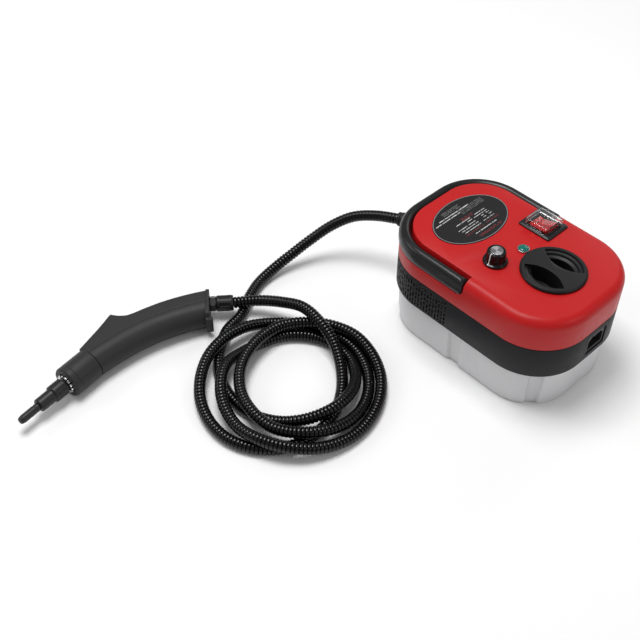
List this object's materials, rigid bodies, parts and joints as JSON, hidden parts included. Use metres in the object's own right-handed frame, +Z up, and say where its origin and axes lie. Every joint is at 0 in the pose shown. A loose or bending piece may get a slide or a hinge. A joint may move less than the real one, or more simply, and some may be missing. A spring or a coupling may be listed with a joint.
{
  "type": "handheld steam cleaner",
  "caption": "Portable steam cleaner: base unit with water tank, carry handle and filler cap, corrugated steam hose, and a steam gun with a stepped nozzle.",
  "frame": {"origin": "centre of the base unit's flat underside", "axes": "+Z up; +X along the base unit from the hose outlet to the mains inlet; +Y across it, away from the hose coil and the gun, which lie on the same surface on the -Y side"},
  "size_m": [0.4202, 0.5681, 0.1478],
  "materials": {
    "red_shell": "satin moulded",
    "black_shell": "fine grain",
    "tank_plastic": "frosted translucent",
    "soft_black": "matte",
    "gloss_black": "gloss",
    "gun_shell": "fine grain",
    "label_plate": "printed film",
    "steel": "bright",
    "brass": "machined",
    "aluminium": "cast",
    "rubber": "matte",
    "silicone": "milky",
    "lamp_lens": "coloured clear",
    "clear_plastic": "clear",
    "red_rocker": "gloss",
    "circuit_board": "varnished",
    "ceramic": "unglazed"
  },
  "bodies": {
    "housing": {"water_tank": "tank_plastic", "tank_seal": "silicone", "middle_housing": "black_shell", "top_cover": "red_shell", "label_plate": "label_plate", "housing_screw_1": "steel", "housing_screw_2": "steel", "housing_screw_3": "steel", "housing_screw_4": "steel", "handle_pin_left": "steel", "handle_pin_right": "steel", "filler_neck": "black_shell", "neck_strainer": "silicone", "switch_body": "soft_black", "switch_cover": "clear_plastic", "lamp_bezel": "aluminium", "lamp_lens": "lamp_lens", "regulator_valve": "brass", "regulator_nut": "steel", "mains_inlet": "soft_black", "inlet_pin_line": "steel", "inlet_pin_neutral": "steel", "inlet_pin_earth": "steel", "boiler_body": "aluminium", "boiler_lid": "aluminium", "heating_element": "steel", "thermostat": "ceramic", "thermal_fuse": "ceramic", "pump_coil": "soft_black", "pump_head": "brass", "intake_tube": "silicone", "intake_filter": "brass", "control_board": "circuit_board", "hose_outlet_nut": "soft_black", "hose_outlet_gland": "rubber", "steam_pipe": "aluminium", "steam_hose": "gloss_black", "gun_shell_upper": "gun_shell", "gun_shell_lower": "gun_shell", "gun_screw_1": "steel", "gun_screw_2": "steel", "gun_screw_3": "steel", "micro_switch": "soft_black", "front_collar": "gun_shell", "nozzle_socket": "steel", "tail_plate": "gun_shell", "gun_gland_nut": "soft_black", "gun_gland": "rubber", "gun_steam_pipe": "silicone"},
    "carry_handle": {"carry_handle": "black_shell"},
    "cap_gasket": {"cap_gasket": "silicone"},
    "filler_cap": {"filler_cap": "soft_black"},
    "steam_regulator": {"regulator_knob": "gloss_black", "knob_insert": "steel", "regulator_shaft": "brass"},
    "power_rocker": {"power_rocker": "red_rocker"},
    "steam_button": {"steam_button": "soft_black", "button_spring": "steel"},
    "nozzle_extension": {"nozzle_extension": "soft_black"},
    "nozzle_tip": {"nozzle_tip": "soft_black"}
  },
  "joints": [
    {"name": "handle_lift", "type": "hinge", "parent": "housing", "child": "carry_handle", "pos_m": [-0.005, 0, 0.1212], "axis": [0, 1, 0], "range_deg": [0, 90]},
    {"name": "cap_lift", "type": "slide", "parent": "housing", "child": "cap_gasket", "axis": [0, 0, 1], "range_m": [0, 0.06]},
    {"name": "cap_turn", "type": "hinge", "parent": "cap_gasket", "child": "filler_cap", "pos_m": [0.057, 0, 0.1323], "axis": [0, 0, 1], "range_deg": [0, 180]},
    {"name": "regulator_turn", "type": "hinge", "parent": "housing", "child": "steam_regulator", "pos_m": [0.0055, -0.033, 0.1325], "axis": [0, 0, 1], "range_deg": [-300, 0]},
    {"name": "rocker_tilt", "type": "hinge", "parent": "housing", "child": "power_rocker", "pos_m": [0.004, 0.05, 0.1323], "axis": [0, 1, 0], "range_deg": [0, 16]},
    {"name": "button_press", "type": "slide", "parent": "housing", "child": "steam_button", "axis": [0.9846, -0.1751, 0], "range_m": [0, 0.003], "stiffness_N_per_m": 600, "springref_m": -0.002},
    {"name": "nozzle_pull", "type": "slide", "parent": "housing", "child": "nozzle_extension", "axis": [0.1702, -0.9854, 0], "range_m": [0, 0.025]},
    {"name": "nozzle_turn", "type": "hinge", "parent": "nozzle_extension", "child": "nozzle_tip", "pos_m": [-0.2566, -0.4188, 0.0182], "axis": [0.1702, -0.9854, 0], "range_deg": [0, 360]}
  ]
}
